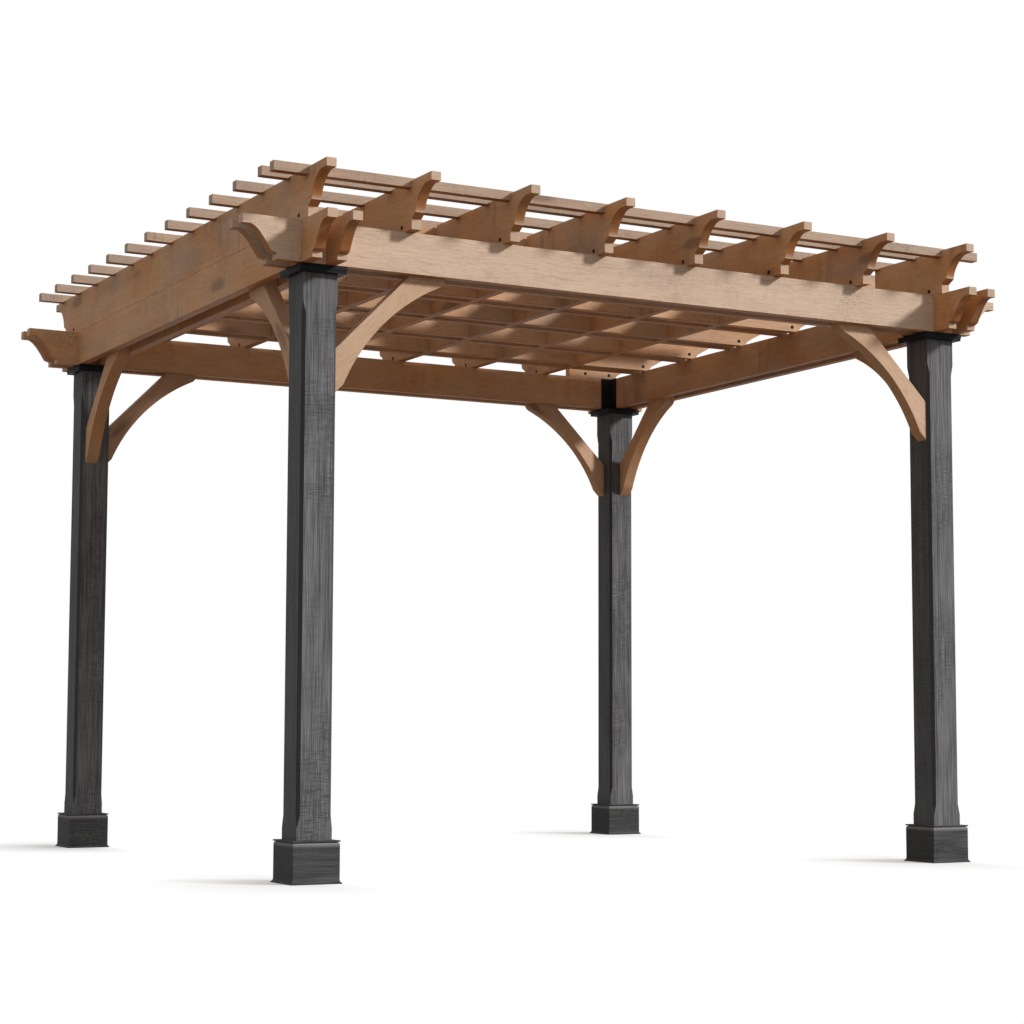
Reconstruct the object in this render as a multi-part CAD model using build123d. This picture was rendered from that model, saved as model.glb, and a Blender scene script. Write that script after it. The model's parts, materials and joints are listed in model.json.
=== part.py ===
"""A free-standing wooden pergola: four posts, doubled beams and an open lattice roof.

Millimetres, +Z up. The origin is on the ground at the middle of the plan, with the
front of the pergola facing -Y. Each piece of timber or steel is written as one STEP.
"""
from build123d import *
import math
import os

# Plan and height
SPAN_X = 3090            # outer faces of the posts, left to right
SPAN_Y = 2820            # outer faces of the posts, front to back
POST_TOP = 2265          # underside of the cap

# Posts
POST = 140               # square section
POST_CHAMFER = 12        # width cut from each face along the stopped corner chamfer
CHAMFER_STOP = 44        # length of each tongue where the chamfer runs out
CHAMFER_TO_CAP = 109     # square part of the post under the cap
CHAMFER_TO_BASE = 46     # square part of the post above the base box

# Base boxes round the foot of each post
BASE_HEIGHT = 158
BASE_WALL = 20           # thickness of the plain side boards
BASE_LIP = 25            # how far the top lip stands out from the post
BASE_LIP_THICK = 9
BASE_COVE = 12           # height of the sloped neck under the lip
BASE_FOOT = 31           # how far the flared foot stands out from the post
BASE_FOOT_HEIGHT = 34    # height of the hollow curve of the foot
BASE_FOOT_EDGE = 7       # upright edge of the foot at the ground
BASE_FOOT_HOLLOW = 5     # depth of the hollow below its chord

# Caps on the posts, two flat layers of black moulding
CAP_LOWER_OUT = 26
CAP_LOWER_THICK = 12
CAP_UPPER_OUT = 28
CAP_UPPER_THICK = 13

# Steel brackets between the caps and the beams
PLATE = 4                # plate thickness
PLATE_REACH = 27         # how far the arms of the plate pass the inner faces of the post
ANGLE_LEG = 60           # legs of the upright angle in the inner corner of the beams

# Beams: each side is two boards on edge with a gap between them
BEAM_HEIGHT = 160
BOARD = 41               # thickness of every board on edge
BEAM_GAP = 60
BEAM_OUTSET_X = 20       # outer faces of the side beams stand this far outside the posts
BEAM_OUTSET_Y = 27       # and those of the front and back beams this far

# Rafters, front to back on top of the beams
RAFTER_COUNT = 8
RAFTER_HEIGHT = 190

# Doubled cross beams, left to right between the rafters
CROSS_COUNT = 5
CROSS_FRONT_CLEAR = 445  # clear space between the front beam and the first cross beam
CROSS_BACK_CLEAR = 211   # clear space between the last cross beam and the back beam
CROSS_END_BACK = 174     # where their shaped ends start, in from the outer face of the right beam
CORNER_CROSS_REACH = 260   # how far the short cross beam passes the inner face of the right beam
CORNER_RAFTER_REACH = 268  # and the short rafter that of the front beam

# Slats on top
SLAT_COUNT = 13
SLAT_WIDTH = 38
SLAT_HEIGHT = 38
SLAT_LENGTH = 3328
SLAT_OVERHANG = 139      # left slat ends past the outer faces of the posts
FRONT_SLAT_SHIFT = 21    # the first slat lies this much further to the left
SLAT_LET_IN = 10         # depth of the housings in the rafters
FRONT_SLAT_LET_IN = 30
FRONT_SLAT_BACK = 165    # first slat behind the front rafter tips
SECOND_SLAT_BACK = 336   # second slat behind the front rafter tips
LAST_SLAT_BACK = 106     # last slat short of the back rafter tips

# Shaped board ends. From the tip inwards: end face, short flat, hollow curve that starts level
# (pull) and runs out at the turn (lean), straight slope, and the upright face of the heel.
# Turn and heel are given as distance out and height above the lower edge.
BEAM_END = {"height": BEAM_HEIGHT, "reach": 236, "tip": 36, "flat": 28, "pull": 32,
            "lean": (12, 21), "turn": (122, 30), "heel": (100, 23)}
RAFTER_END = {"height": RAFTER_HEIGHT, "reach": 222, "tip": 34, "flat": 40, "pull": 44,
              "lean": (0, 38), "turn": (88, 60), "heel": (56, 41)}
CROSS_END = {"height": RAFTER_HEIGHT - SLAT_LET_IN, "reach": BEAM_END["reach"] + CROSS_END_BACK,
             "tip": 36, "flat": 42, "pull": 78, "lean": (60, 34), "turn": (76, 26), "heel": (64, 14)}

# Knee braces, let up into the gap of the beams
BRACE_OUT = 462          # from the post along the beam
BRACE_DOWN = 474         # from the beam down the post
BRACE_EDGE = 306         # where the straight upper edge meets post and beam
BRACE_NOSE = 32          # height of the rounded nose at the beam
BRACE_NOSE_LEAN = 24
BRACE_NOSE_ROUND = 5     # bulge of the nose over its chord
BRACE_TOE = 35           # slanting cut at the post
BRACE_RISE = 54          # rise of the hollow lower edge over its chord
BRACE_TENON = 70         # part hidden in the gap between the boards
BRACE_FIT = 0.5          # play on each side of the brace in the gap

# Heights and places that follow from the sizes above
CAP_THICK = CAP_LOWER_THICK + CAP_UPPER_THICK
BEAM_BOTTOM = POST_TOP + CAP_THICK + PLATE
BEAM_TOP = BEAM_BOTTOM + BEAM_HEIGHT
RAFTER_TOP = BEAM_TOP + RAFTER_HEIGHT
SLAT_BOTTOM = RAFTER_TOP - SLAT_LET_IN
PAIR = 2 * BOARD + BEAM_GAP
HALF_X = SPAN_X / 2 + BEAM_OUTSET_X
HALF_Y = SPAN_Y / 2 + BEAM_OUTSET_Y
POST_X = (SPAN_X - POST) / 2
POST_Y = (SPAN_Y - POST) / 2
RAFTER_FIRST = -HALF_X
RAFTER_LAST = HALF_X - PAIR
LAP = BEAM_TOP + RAFTER_HEIGHT / 2
BEAM_LAP = BEAM_BOTTOM + BEAM_HEIGHT / 2

SIDES = {"front_left": (-1, -1), "front_right": (1, -1), "back_left": (-1, 1), "back_right": (1, 1)}


def block(x0, x1, y0, y1, z0, z1):
    """Box between two corners."""
    size = Box(x1 - x0, y1 - y0, z1 - z0, align=(Align.MIN, Align.MIN, Align.MIN))
    return Pos(x0, y0, z0) * size


def end_outline(end):
    """Outline of a shaped board end: distance out, height from the lower edge."""
    top, reach = end["height"], end["reach"]
    under = top - end["tip"]
    flat = reach - end["flat"]
    turn, heel, lean = end["turn"], end["heel"], end["lean"]
    hollow = Bezier((flat, under), (flat - end["pull"], under),
                    (turn[0] + lean[0], turn[1] + lean[1]), turn)
    return [
        Line((0, top), (reach, top)),
        Line((reach, top), (reach, under)),
        Line((reach, under), (flat, under)),
        hollow,
        Line(turn, heel),
        Line(heel, (heel[0], 0)),
        Line((heel[0], 0), (0, 0)),
        Line((0, 0), (0, top)),
    ]


def board_end(end):
    """Shaped board end that points along +X from the origin, one board thick along +Y."""
    solid = extrude(Plane.XZ * make_face(end_outline(end)), amount=BOARD)
    return Pos(0, BOARD, 0) * solid


def turned(solid, x, y, z, angle):
    """Solid turned about Z and then moved."""
    return Pos(x, y, z) * Rot(0, 0, angle) * solid


def one(shape):
    """The single solid of a boolean result."""
    solids = shape.solids()
    return solids[0] if len(solids) == 1 else Compound(children=solids)


def export(name, shape):
    shape.label = name
    export_step(shape, f"parts/{name}.step")


def stopped_chamfer():
    """Cutter for one vertical post edge on the Z axis, with a tongue at each end."""
    low = BASE_HEIGHT + CHAMFER_TO_BASE
    high = POST_TOP - CHAMFER_TO_CAP
    size = 2 * POST_CHAMFER / math.sqrt(2)
    middle = Pos(0, 0, low + CHAMFER_STOP) * extrude(Rectangle(size, size, rotation=45),
                                                     amount=high - low - 2 * CHAMFER_STOP)
    wide = Rectangle(size, size, rotation=45)
    narrow = Rectangle(size / 20, size / 20, rotation=45)
    bottom = loft([Pos(0, 0, low) * narrow, Pos(0, 0, low + CHAMFER_STOP) * wide])
    top = loft([Pos(0, 0, high - CHAMFER_STOP) * wide, Pos(0, 0, high) * narrow])
    return [middle, bottom, top]


def post():
    """Post with four stopped chamfers, centred on the Z axis."""
    body = Box(POST, POST, POST_TOP, align=(Align.CENTER, Align.CENTER, Align.MIN))
    for corner in [(-1, -1), (1, -1), (-1, 1), (1, 1)]:
        for cutter in stopped_chamfer():
            body -= Pos(corner[0] * POST / 2, corner[1] * POST / 2, 0) * cutter
    return body


def square_moulding(lines):
    """Moulding that runs round a square: the same outline seen from the front and the side."""
    face = make_face(lines)
    reach = 4 * POST
    along_y = extrude(Plane.XZ * face, amount=reach / 2, both=True)
    along_x = extrude(Plane.YZ * face, amount=reach / 2, both=True)
    return along_y & along_x


def base_box():
    """Hollow box round the post foot, with a lip, a neck and a flared foot."""
    half = POST / 2
    wall = half + BASE_WALL
    lip = half + BASE_LIP
    foot = half + BASE_FOOT
    neck_top = BASE_HEIGHT - BASE_LIP_THICK
    neck = neck_top - BASE_COVE
    curve_top = BASE_FOOT_EDGE + BASE_FOOT_HEIGHT
    right = [
        Line((0, 0), (foot, 0)),
        Line((foot, 0), (foot, BASE_FOOT_EDGE)),
        SagittaArc((foot, BASE_FOOT_EDGE), (wall, curve_top), BASE_FOOT_HOLLOW),
        Line((wall, curve_top), (wall, neck)),
        Line((wall, neck), (wall - BASE_WALL / 3, neck_top)),
        Line((wall - BASE_WALL / 3, neck_top), (lip, neck_top)),
        Line((lip, neck_top), (lip, BASE_HEIGHT)),
        Line((lip, BASE_HEIGHT), (0, BASE_HEIGHT)),
    ]
    left = [line.mirror(Plane.YZ) for line in right]
    body = square_moulding(right + left)
    return body - Box(POST, POST, BASE_HEIGHT, align=(Align.CENTER, Align.CENTER, Align.MIN))


def cap():
    """Two flat layers on top of the post."""
    lower = Box(POST + 2 * CAP_LOWER_OUT, POST + 2 * CAP_LOWER_OUT, CAP_LOWER_THICK,
                align=(Align.CENTER, Align.CENTER, Align.MIN))
    upper = Box(POST + 2 * CAP_UPPER_OUT, POST + 2 * CAP_UPPER_OUT, CAP_UPPER_THICK,
                align=(Align.CENTER, Align.CENTER, Align.MIN))
    return lower + Pos(0, 0, CAP_LOWER_THICK) * upper


def bracket(side_x, side_y):
    """L-shaped plate under the beams of one corner, with an upright angle inside them."""
    z0 = BEAM_BOTTOM - PLATE
    outer_x, outer_y = side_x * HALF_X, side_y * HALF_Y
    inner_x, inner_y = outer_x - side_x * PAIR, outer_y - side_y * PAIR
    far_x = side_x * (SPAN_X / 2 - POST - PLATE_REACH)
    far_y = side_y * (SPAN_Y / 2 - POST - PLATE_REACH)
    arm_x = span_block(outer_x, far_x, outer_y, inner_y, z0, BEAM_BOTTOM)
    arm_y = span_block(outer_x, inner_x, outer_y, far_y, z0, BEAM_BOTTOM)
    heel_x, heel_y = inner_x - side_x * PLATE, inner_y - side_y * PLATE
    pad = span_block(inner_x, heel_x, inner_y, heel_y, z0, BEAM_BOTTOM)
    leg_x = span_block(inner_x, inner_x - side_x * ANGLE_LEG, inner_y, heel_y, z0, BEAM_TOP)
    leg_y = span_block(inner_x, heel_x, inner_y, inner_y - side_y * ANGLE_LEG, z0, BEAM_TOP)
    return arm_x + arm_y + pad + leg_x + leg_y


def span_block(x0, x1, y0, y1, z0, z1):
    """Box between two corners given in any order."""
    return block(min(x0, x1), max(x0, x1), min(y0, y1), max(y0, y1), min(z0, z1), max(z0, z1))


def board_faces(half, side):
    """Lower faces of the two boards of a beam pair on one side of the plan."""
    outer = side * half - (BOARD if side > 0 else 0)
    inner = outer - side * (BOARD + BEAM_GAP)
    return outer, inner


def beam_along_x(y):
    """Board from left to right, with shaped ends and laps over the side beams."""
    right = HALF_X - BOARD
    body = block(-HALF_X, right, y, y + BOARD, BEAM_BOTTOM, BEAM_TOP)
    body += turned(board_end(BEAM_END), right, y, BEAM_BOTTOM, 0)
    body += turned(board_end(BEAM_END), -HALF_X, y + BOARD, BEAM_BOTTOM, 180)
    for side in (-1, 1):
        for x in board_faces(HALF_X, side):
            body -= block(x, x + BOARD, y, y + BOARD, BEAM_BOTTOM, BEAM_LAP)
    return body


def beam_along_y(x):
    """Board from front to back, with shaped ends and laps under the front and back beams."""
    body = block(x, x + BOARD, -HALF_Y, HALF_Y, BEAM_BOTTOM, BEAM_TOP)
    body += turned(board_end(BEAM_END), x + BOARD, HALF_Y, BEAM_BOTTOM, 90)
    body += turned(board_end(BEAM_END), x, -HALF_Y, BEAM_BOTTOM, -90)
    for side in (-1, 1):
        for y in board_faces(HALF_Y, side):
            body -= block(x, x + BOARD, y, y + BOARD, BEAM_LAP, BEAM_TOP)
    return body


def rafter_places():
    """Left faces of the full rafters; the last place is the short one's, over the right beam."""
    return spread(RAFTER_FIRST, RAFTER_LAST, RAFTER_COUNT)[:-1]


def spread(first, last, count):
    """Evenly spaced places from the first to the last."""
    return [first + (last - first) * i / (count - 1) for i in range(count)]


def cross_places():
    """Front faces of the doubled cross beams, front to back."""
    first = -HALF_Y + PAIR + CROSS_FRONT_CLEAR
    last = HALF_Y - PAIR - CROSS_BACK_CLEAR - PAIR
    return spread(first, last, CROSS_COUNT)


def slat_places():
    """Front faces and undersides of the slats, front to back."""
    tips = HALF_Y + RAFTER_END["reach"]
    last = tips - LAST_SLAT_BACK - SLAT_WIDTH
    rest = spread(-tips + SECOND_SLAT_BACK, last, SLAT_COUNT - 1)
    front = (-tips + FRONT_SLAT_BACK, RAFTER_TOP - FRONT_SLAT_LET_IN)
    return [front] + [(y, SLAT_BOTTOM) for y in rest]


def slat_housings(x0, x1, y_end):
    """Cutters for the slats where they cross the boards between x0 and x1, up to y_end."""
    cutters = []
    for y, z in slat_places():
        if y < y_end:
            cutters.append(block(x0, x1, y, y + SLAT_WIDTH, z, RAFTER_TOP + SLAT_HEIGHT))
    return cutters


def rafter(x, lapped):
    """Full rafter, housed for the slats and lapped over the cross beams."""
    body = block(x, x + BOARD, -HALF_Y, HALF_Y, BEAM_TOP, RAFTER_TOP)
    body += turned(board_end(RAFTER_END), x + BOARD, HALF_Y, BEAM_TOP, 90)
    body += turned(board_end(RAFTER_END), x, -HALF_Y, BEAM_TOP, -90)
    for cutter in slat_housings(x, x + BOARD, HALF_Y + RAFTER_END["reach"]):
        body -= cutter
    if lapped:
        for y in cross_places():
            for front in (y, y + BOARD + BEAM_GAP):
                body -= block(x, x + BOARD, front, front + BOARD, LAP, RAFTER_TOP)
    return body


def corner_rafter():
    """Short rafter over the right beam at the front corner."""
    x = RAFTER_LAST
    end = -HALF_Y + PAIR + CORNER_RAFTER_REACH
    body = block(x, x + BOARD, -HALF_Y, end, BEAM_TOP, RAFTER_TOP)
    body += turned(board_end(RAFTER_END), x, -HALF_Y, BEAM_TOP, -90)
    for cutter in slat_housings(x, x + BOARD, end):
        body -= cutter
    return body


def cross_board(y, start):
    """Board from start to the right, with a long shaped end over the right beam."""
    end = HALF_X - CROSS_END_BACK
    body = block(start, end, y, y + BOARD, BEAM_TOP, SLAT_BOTTOM)
    body += turned(board_end(CROSS_END), end, y, BEAM_TOP, 0)
    for x in rafter_places():
        if x > start:
            body -= block(x, x + BOARD, y, y + BOARD, BEAM_TOP, LAP)
    return body


def cross_beam(y, start):
    """The two boards of a doubled cross beam."""
    return [cross_board(y, start), cross_board(y + BOARD + BEAM_GAP, start)]


def slats():
    """All the slats of the roof."""
    pieces = []
    for number, (y, z) in enumerate(slat_places()):
        x = -SPAN_X / 2 - SLAT_OVERHANG - (FRONT_SLAT_SHIFT if number == 0 else 0)
        pieces.append(block(x, x + SLAT_LENGTH, y, y + SLAT_WIDTH, z, z + SLAT_HEIGHT))
    return pieces


def brace():
    """Knee brace in the XZ plane: the post face is x = 0 and the beam underside is z = 0."""
    nose = (BRACE_OUT - BRACE_NOSE_LEAN, -BRACE_NOSE)
    toe = (BRACE_TOE, -(BRACE_DOWN - BRACE_TOE))
    chord = math.hypot(nose[0] - toe[0], nose[1] - toe[1])
    middle = ((nose[0] + toe[0]) / 2, (nose[1] + toe[1]) / 2)
    normal = (-(nose[1] - toe[1]) / chord, (nose[0] - toe[0]) / chord)
    crown = (middle[0] + normal[0] * BRACE_RISE, middle[1] + normal[1] * BRACE_RISE)
    lines = [
        Line((0, -BRACE_EDGE), (BRACE_EDGE, 0)),
        Line((BRACE_EDGE, 0), (BRACE_EDGE, BRACE_TENON)),
        Line((BRACE_EDGE, BRACE_TENON), (BRACE_OUT, BRACE_TENON)),
        Line((BRACE_OUT, BRACE_TENON), (BRACE_OUT, 0)),
        SagittaArc((BRACE_OUT, 0), nose, BRACE_NOSE_ROUND),
        ThreePointArc(nose, crown, toe),
        Line(toe, (0, -BRACE_DOWN)),
        Line((0, -BRACE_DOWN), (0, -BRACE_EDGE)),
    ]
    thick = BEAM_GAP - 2 * BRACE_FIT
    return Pos(0, thick / 2, 0) * extrude(Plane.XZ * make_face(lines), amount=thick)


def place_braces(side_x, side_y):
    """The two braces of one post: along X and along Y."""
    gap_x = side_x * (HALF_X - PAIR / 2)
    gap_y = side_y * (HALF_Y - PAIR / 2)
    face_x = side_x * (SPAN_X / 2 - POST)
    face_y = side_y * (SPAN_Y / 2 - POST)
    along_x = turned(brace(), face_x, gap_y, BEAM_BOTTOM, 180 if side_x > 0 else 0)
    along_y = turned(brace(), gap_x, face_y, BEAM_BOTTOM, -90 if side_y > 0 else 90)
    return along_x, along_y


def build():
    """Make every piece and write it to its own file."""
    os.makedirs("parts", exist_ok=True)
    for name, (side_x, side_y) in SIDES.items():
        place = Pos(side_x * POST_X, side_y * POST_Y, 0)
        export(f"post_{name}", one(place * post()))
        export(f"base_{name}", one(place * base_box()))
        export(f"cap_{name}", one(Pos(0, 0, POST_TOP) * place * cap()))
        export(f"bracket_{name}", one(bracket(side_x, side_y)))
        along_x, along_y = place_braces(side_x, side_y)
        export(f"brace_{name}_across", one(along_x))
        export(f"brace_{name}_along", one(along_y))
    for name, side in {"front": -1, "back": 1}.items():
        boards = [one(beam_along_x(y)) for y in board_faces(HALF_Y, side)]
        export(f"beam_{name}", Compound(children=boards))
    for name, side in {"left": -1, "right": 1}.items():
        boards = [one(beam_along_y(x)) for x in board_faces(HALF_X, side)]
        export(f"beam_{name}", Compound(children=boards))
    for number, x in enumerate(rafter_places()):
        export(f"rafter_{number + 1}", one(rafter(x, number > 0)))
    export("corner_rafter", one(corner_rafter()))
    for number, y in enumerate(cross_places()):
        boards = [one(board) for board in cross_beam(y, RAFTER_FIRST + BOARD)]
        export(f"cross_beam_{number + 1}", Compound(children=boards))
    export("corner_cross_beam", one(cross_board(HALF_Y - PAIR, HALF_X - PAIR - CORNER_CROSS_REACH)))
    export("roof_slats", Compound(children=slats()))


build()
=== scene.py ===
"""Finish, light and camera for a free-standing wooden pergola."""
import json
import math

import bpy
from mathutils import Matrix, Vector

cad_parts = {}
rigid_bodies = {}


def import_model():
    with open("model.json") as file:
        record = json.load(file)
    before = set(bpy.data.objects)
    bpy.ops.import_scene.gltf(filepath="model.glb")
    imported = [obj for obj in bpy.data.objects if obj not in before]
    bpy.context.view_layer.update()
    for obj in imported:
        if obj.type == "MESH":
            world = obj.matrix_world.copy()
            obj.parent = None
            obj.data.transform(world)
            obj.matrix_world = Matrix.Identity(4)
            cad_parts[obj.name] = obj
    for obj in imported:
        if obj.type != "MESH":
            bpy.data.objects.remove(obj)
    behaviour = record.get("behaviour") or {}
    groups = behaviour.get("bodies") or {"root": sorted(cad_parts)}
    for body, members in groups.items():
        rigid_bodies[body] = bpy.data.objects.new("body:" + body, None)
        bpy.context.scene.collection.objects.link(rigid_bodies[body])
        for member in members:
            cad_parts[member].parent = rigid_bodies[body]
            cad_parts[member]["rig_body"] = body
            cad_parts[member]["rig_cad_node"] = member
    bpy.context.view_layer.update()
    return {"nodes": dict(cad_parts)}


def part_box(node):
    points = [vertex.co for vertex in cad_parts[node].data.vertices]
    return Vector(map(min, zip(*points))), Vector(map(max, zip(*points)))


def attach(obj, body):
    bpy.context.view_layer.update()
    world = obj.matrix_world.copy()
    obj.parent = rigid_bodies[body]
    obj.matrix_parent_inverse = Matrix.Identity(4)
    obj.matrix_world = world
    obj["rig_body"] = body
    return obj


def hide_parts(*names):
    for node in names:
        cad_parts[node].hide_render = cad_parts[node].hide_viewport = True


# Worn edges, in metres like every size here
ARRIS = 0.0014           # planed timber
POST_ARRIS = 0.0012      # rough sawn posts, base boxes and caps
STEEL_ARRIS = 0.0008
ARRIS_STEPS = 2
ARRIS_ANGLE = math.radians(32)
FLAT_ANGLE = math.radians(1)
MERGE = 0.00001          # corners closer than this are one
LEVEL = 0.9              # a face counts as level above this share of its normal
GROUND = 0.0001          # and as lying on the ground below this height

# Base boxes round the post feet
BASE_WALL = 0.0235       # how far the boards stand out from the post
BASE_LIP = 0.025         # the same for the thin lip on top
BASE_LIP_THICK = 0.006
BASE_SHOULDER = 0.010    # rounding of the boards under the lip
BASE_FLARE = 0.013       # height of the hollow at the foot
BASE_EDGE = 0.004        # upright edge at the ground
CURVE_STEPS = 5

# Screws
SCREW_HEAD = 0.016       # diameter
SCREW_RISE = 0.0022      # how far the head stands out of the wood
SCREW_SUNK = 0.0008      # how deep it is let in
SCREW_SIDES = 18
SCREW_RIM = SCREW_HEAD * 0.12        # width of the sloping rim
SCREW_RIM_RISE = SCREW_RISE * 0.35
SCREW_FLAT = SCREW_HEAD * 0.14       # width of the flat ring inside it
RECESS_WALL = SCREW_HEAD * 0.02
RECESS_DEPTH = SCREW_RISE * 0.8
FOOT_BACK = 0.030        # from the outer face of the front beam to the rafter screws
FOOT_BACK_REAR = 0.075   # the same at the back beam
FOOT_UP = 0.022          # from the beam top to the screws over it
CROSS_IN = 0.153         # from the outer face of the right beam to the cross beam screws
CORNER_CROSS_IN = 0.10   # from the inner end of the short cross board to its screw
BEAM_OUTSET_X = 0.020    # how far the side beams stand outside the posts
BEAM_OUTSET_Y = 0.027    # and the front and back beams
BRACKET_TO_ANGLE = 0.142  # from the outer side of a bracket to its upright angle
ANGLE_THICK = 0.004
ANGLE_SCREW_OUT = 0.036  # from the corner of the upright angle to its screws
ANGLE_SCREW_RISES = (0.045, 0.115)   # above the underside of the beams

# The camera stands low at the front left and looks up a little
CAMERA_PLACE = (-4.7384, -8.9273, 0.5857)
CAMERA_YAW = math.radians(28.507)
CAMERA_PITCH = math.radians(5.4725)
CAMERA_ROLL = math.radians(0.1754)
CAMERA_LENS = 77.696
SENSOR = 36.0
CAMERA_REACH = 200.0

# Light: a sun from the front right and a pale sky
SUN_TOWARDS = (-1.2, 1.0, -0.80)
SUN_STRENGTH = 3.5
SUN_SIZE = 8.0
SUN_COLOUR = (1.0, 0.985, 0.965)
SKY_STRENGTH = 0.5
SKY_COLOUR = (1.0, 0.96, 0.93, 1)
WHITE = (1.0, 1.0, 1.0, 1)
FLOOR_WHITE = (0.86, 0.86, 0.86, 1)
FLOOR_BOUNCE = (0.25, 0.212, 0.175, 1)
FLOOR_SIZE = 120.0
FLOOR_BACK = 20.0        # how far back its middle lies

# Soft shadows on the floor, measured from the middle of each post
SHADOW_STRENGTH = 0.7
SHADOW_FULL = 0.1        # at full strength up to here
SHADOW_REACH = 0.6       # and gone from here on
SHADOW_ENDS = 0.13       # none further to the right than this
SHADOW_WHOLE = -0.02     # and whole to the left of this

# Wood colours; the pale tones go on faces turned to the sun, partly sun bleaching and partly painted
# light, the fresh tones on faces turned away, partly unweathered wood and partly painted shade
PALE_LIGHT = (0.62, 0.465, 0.35, 1)
PALE_DARK = (0.41, 0.277, 0.19, 1)
FRESH_SHADE_LIGHT = (0.60, 0.34, 0.165, 1)
FRESH_SHADE_DARK = (0.38, 0.19, 0.08, 1)
CEDAR_GREY = (0.32, 0.245, 0.205, 1)
# painted shade: downward faces made darker and warmer
UNDERSIDE_SHADE = (0.66, 0.47, 0.31, 1)
CEDAR_END = (0.53, 0.375, 0.265, 1)
WARM = (1.0, 0.78, 0.52, 1)
DRIP = (0.50, 0.51, 0.56, 1)
INK = (0.10, 0.085, 0.085)
KNOT = (0.12, 0.065, 0.035)
LINE_SHADE = (0.42, 0.28, 0.19)
FIBRE_SHADE = (0.4, 0.3, 0.22)
SAW_SHADE = (0.40, 0.34, 0.31)
SLAT_TINT = (0.74, 0.77, 0.82, 1)
BRACE_TINT = (1.0, 0.96, 0.91, 1)

# Charcoal stain and black coatings
POST_LIGHT = (0.21, 0.213, 0.221, 1)
POST_DARK = (0.038, 0.039, 0.042, 1)
BASE_LIGHT = (0.098, 0.099, 0.101, 1)
BASE_DARK = (0.018, 0.019, 0.02, 1)
# colour of the painted highlight under the lip of the base boxes
SHOULDER_HIGHLIGHT = (0.27, 0.27, 0.275, 1)
CAP_BLACK = (0.007, 0.0075, 0.0085)
STEEL_BLACK = (0.009, 0.009, 0.010)
CLOUDED = 2.2            # how much lighter the coating is in its clouds

# Patterns in the wood: waves to the metre along the grain and both ways across it
WAVES = (13.0, 7.0, 7.0)
WAVE_PUSH = (0.0, 0.02, 0.02)        # how far a slow wave pushes the lines aside
BANDS = (1.4, 22.0, 22.0)
LINES = (11.0, 250.0, 250.0)
FIBRES = (12.0, 420.0, 420.0)
STAINS = (1.6, 4.2, 4.2)
WARM_PATCHES = (2.6, 6.0, 6.0)
DRIP_RUNS = (22.0, 22.0, 3.0)
DRIP_PLACES = (2.2, 2.2, 3.0)
END_RINGS = (1.0, 75.0, 75.0)
KNOTS = (1.7, 5.5, 5.5)
SCRATCH_PLACES = (2.4, 4.3, 4.3)
SCRATCHES = (22.0, 150.0, 150.0)
SCRATCH_TURN = (math.radians(35), math.radians(58), math.radians(58))
BRUSHED_LINES = (5.0, 330.0, 330.0)
BRUSHED_BANDS = (1.3, 55.0, 55.0)
BRUSHED_CLOUDS = (1.4, 4.0, 4.0)
THREAD = 0.07            # waves along a thread for one wave across it
BASE_LAY = (1.4, 0.02, 1.0)          # how the brushed pattern is drawn out on the base boxes

# Painted highlight on the rounding below the lip of a base box
HIGHLIGHT_START = 0.020        # below the lip
HIGHLIGHT_WHOLE = 0.006
HIGHLIGHT_STRENGTH = 0.75
HIGHLIGHT_EDGE = 0.0003

# Cells that tell boards apart: each starts a little before its board
WIDE = 100.0             # cell size in the directions where boards aren't told apart
BEAM_LEAD = 0.3          # share of a pair of boards
CROSS_LEAD = 0.03
CROSS_CELLS = 4          # from one cross beam to the next
SLAT_LEAD = 0.01
SLAT_CELL = 0.129        # half the distance from slat to slat
QUARTERS = (10, 10, 10)  # one cell for each quarter of the plan
BELOW_GROUND = (0, 0, -1)
BOARD_SHIFT = 40.0       # how far apart two boards lie in the pattern, at most

# Turns that lay the grain along an axis
ALONG_X = (0.0, 0.0, 0.0)
ALONG_Y = (0.0, 0.0, math.radians(-90))
ALONG_Z = (0.0, math.radians(90), 0.0)
SLANT_X = (0.0, math.radians(-45), 0.0)
SLANT_Y = (math.radians(45), 0.0, math.radians(-90))
ROUND_Z = (0.0, 0.0, math.radians(45))

CORNERS = ("front_left", "front_right", "back_left", "back_right")
WOOD_OUTPUTS = [
    ("Color", "NodeSocketColor"),
    ("Roughness", "NodeSocketFloat"),
    ("Height", "NodeSocketFloat"),
]

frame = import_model()
bpy.ops.object.select_all(action="DESELECT")


def family(start, corner):
    """Nodes whose names start alike, and the short one at the corner."""
    return [name for name in sorted(frame["nodes"]) if name.startswith(start) or name == corner]


RAFTERS = family("rafter_", "corner_rafter")
CROSS_BEAMS = family("cross_beam_", "corner_cross_beam")


def links(tree, pairs):
    for start, end in pairs:
        tree.links.new(start, end)


def add(tree, kind, **values):
    """New node with its properties and unlinked input values set by name."""
    node = tree.nodes.new(kind)
    for key, value in values.items():
        if hasattr(node, key) and key not in node.inputs:
            setattr(node, key, value)
        else:
            node.inputs[key].default_value = value
    return node


def maths(tree, operation, a, b=None):
    """Maths node; a and b are sockets or numbers. Gives the output socket."""
    node = tree.nodes.new("ShaderNodeMath")
    node.operation = operation
    for index, value in enumerate((a, b)):
        if value is None:
            continue
        if isinstance(value, (int, float)):
            node.inputs[index].default_value = value
        else:
            tree.links.new(value, node.inputs[index])
    return node.outputs[0]


def times(tree, a, b):
    return maths(tree, "MULTIPLY", a, b)


def vector_maths(tree, operation, a, b=None, scale=None):
    """Vector maths node; a and b are sockets or triples. Gives the output socket."""
    node = tree.nodes.new("ShaderNodeVectorMath")
    node.operation = operation
    for index, value in enumerate((a, b)):
        if isinstance(value, bpy.types.NodeSocket):
            tree.links.new(value, node.inputs[index])
        elif value is not None:
            node.inputs[index].default_value = value
    if scale is not None:
        node.inputs["Scale"].default_value = scale
    return node.outputs["Value"] if operation == "LENGTH" else node.outputs["Vector"]


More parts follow.
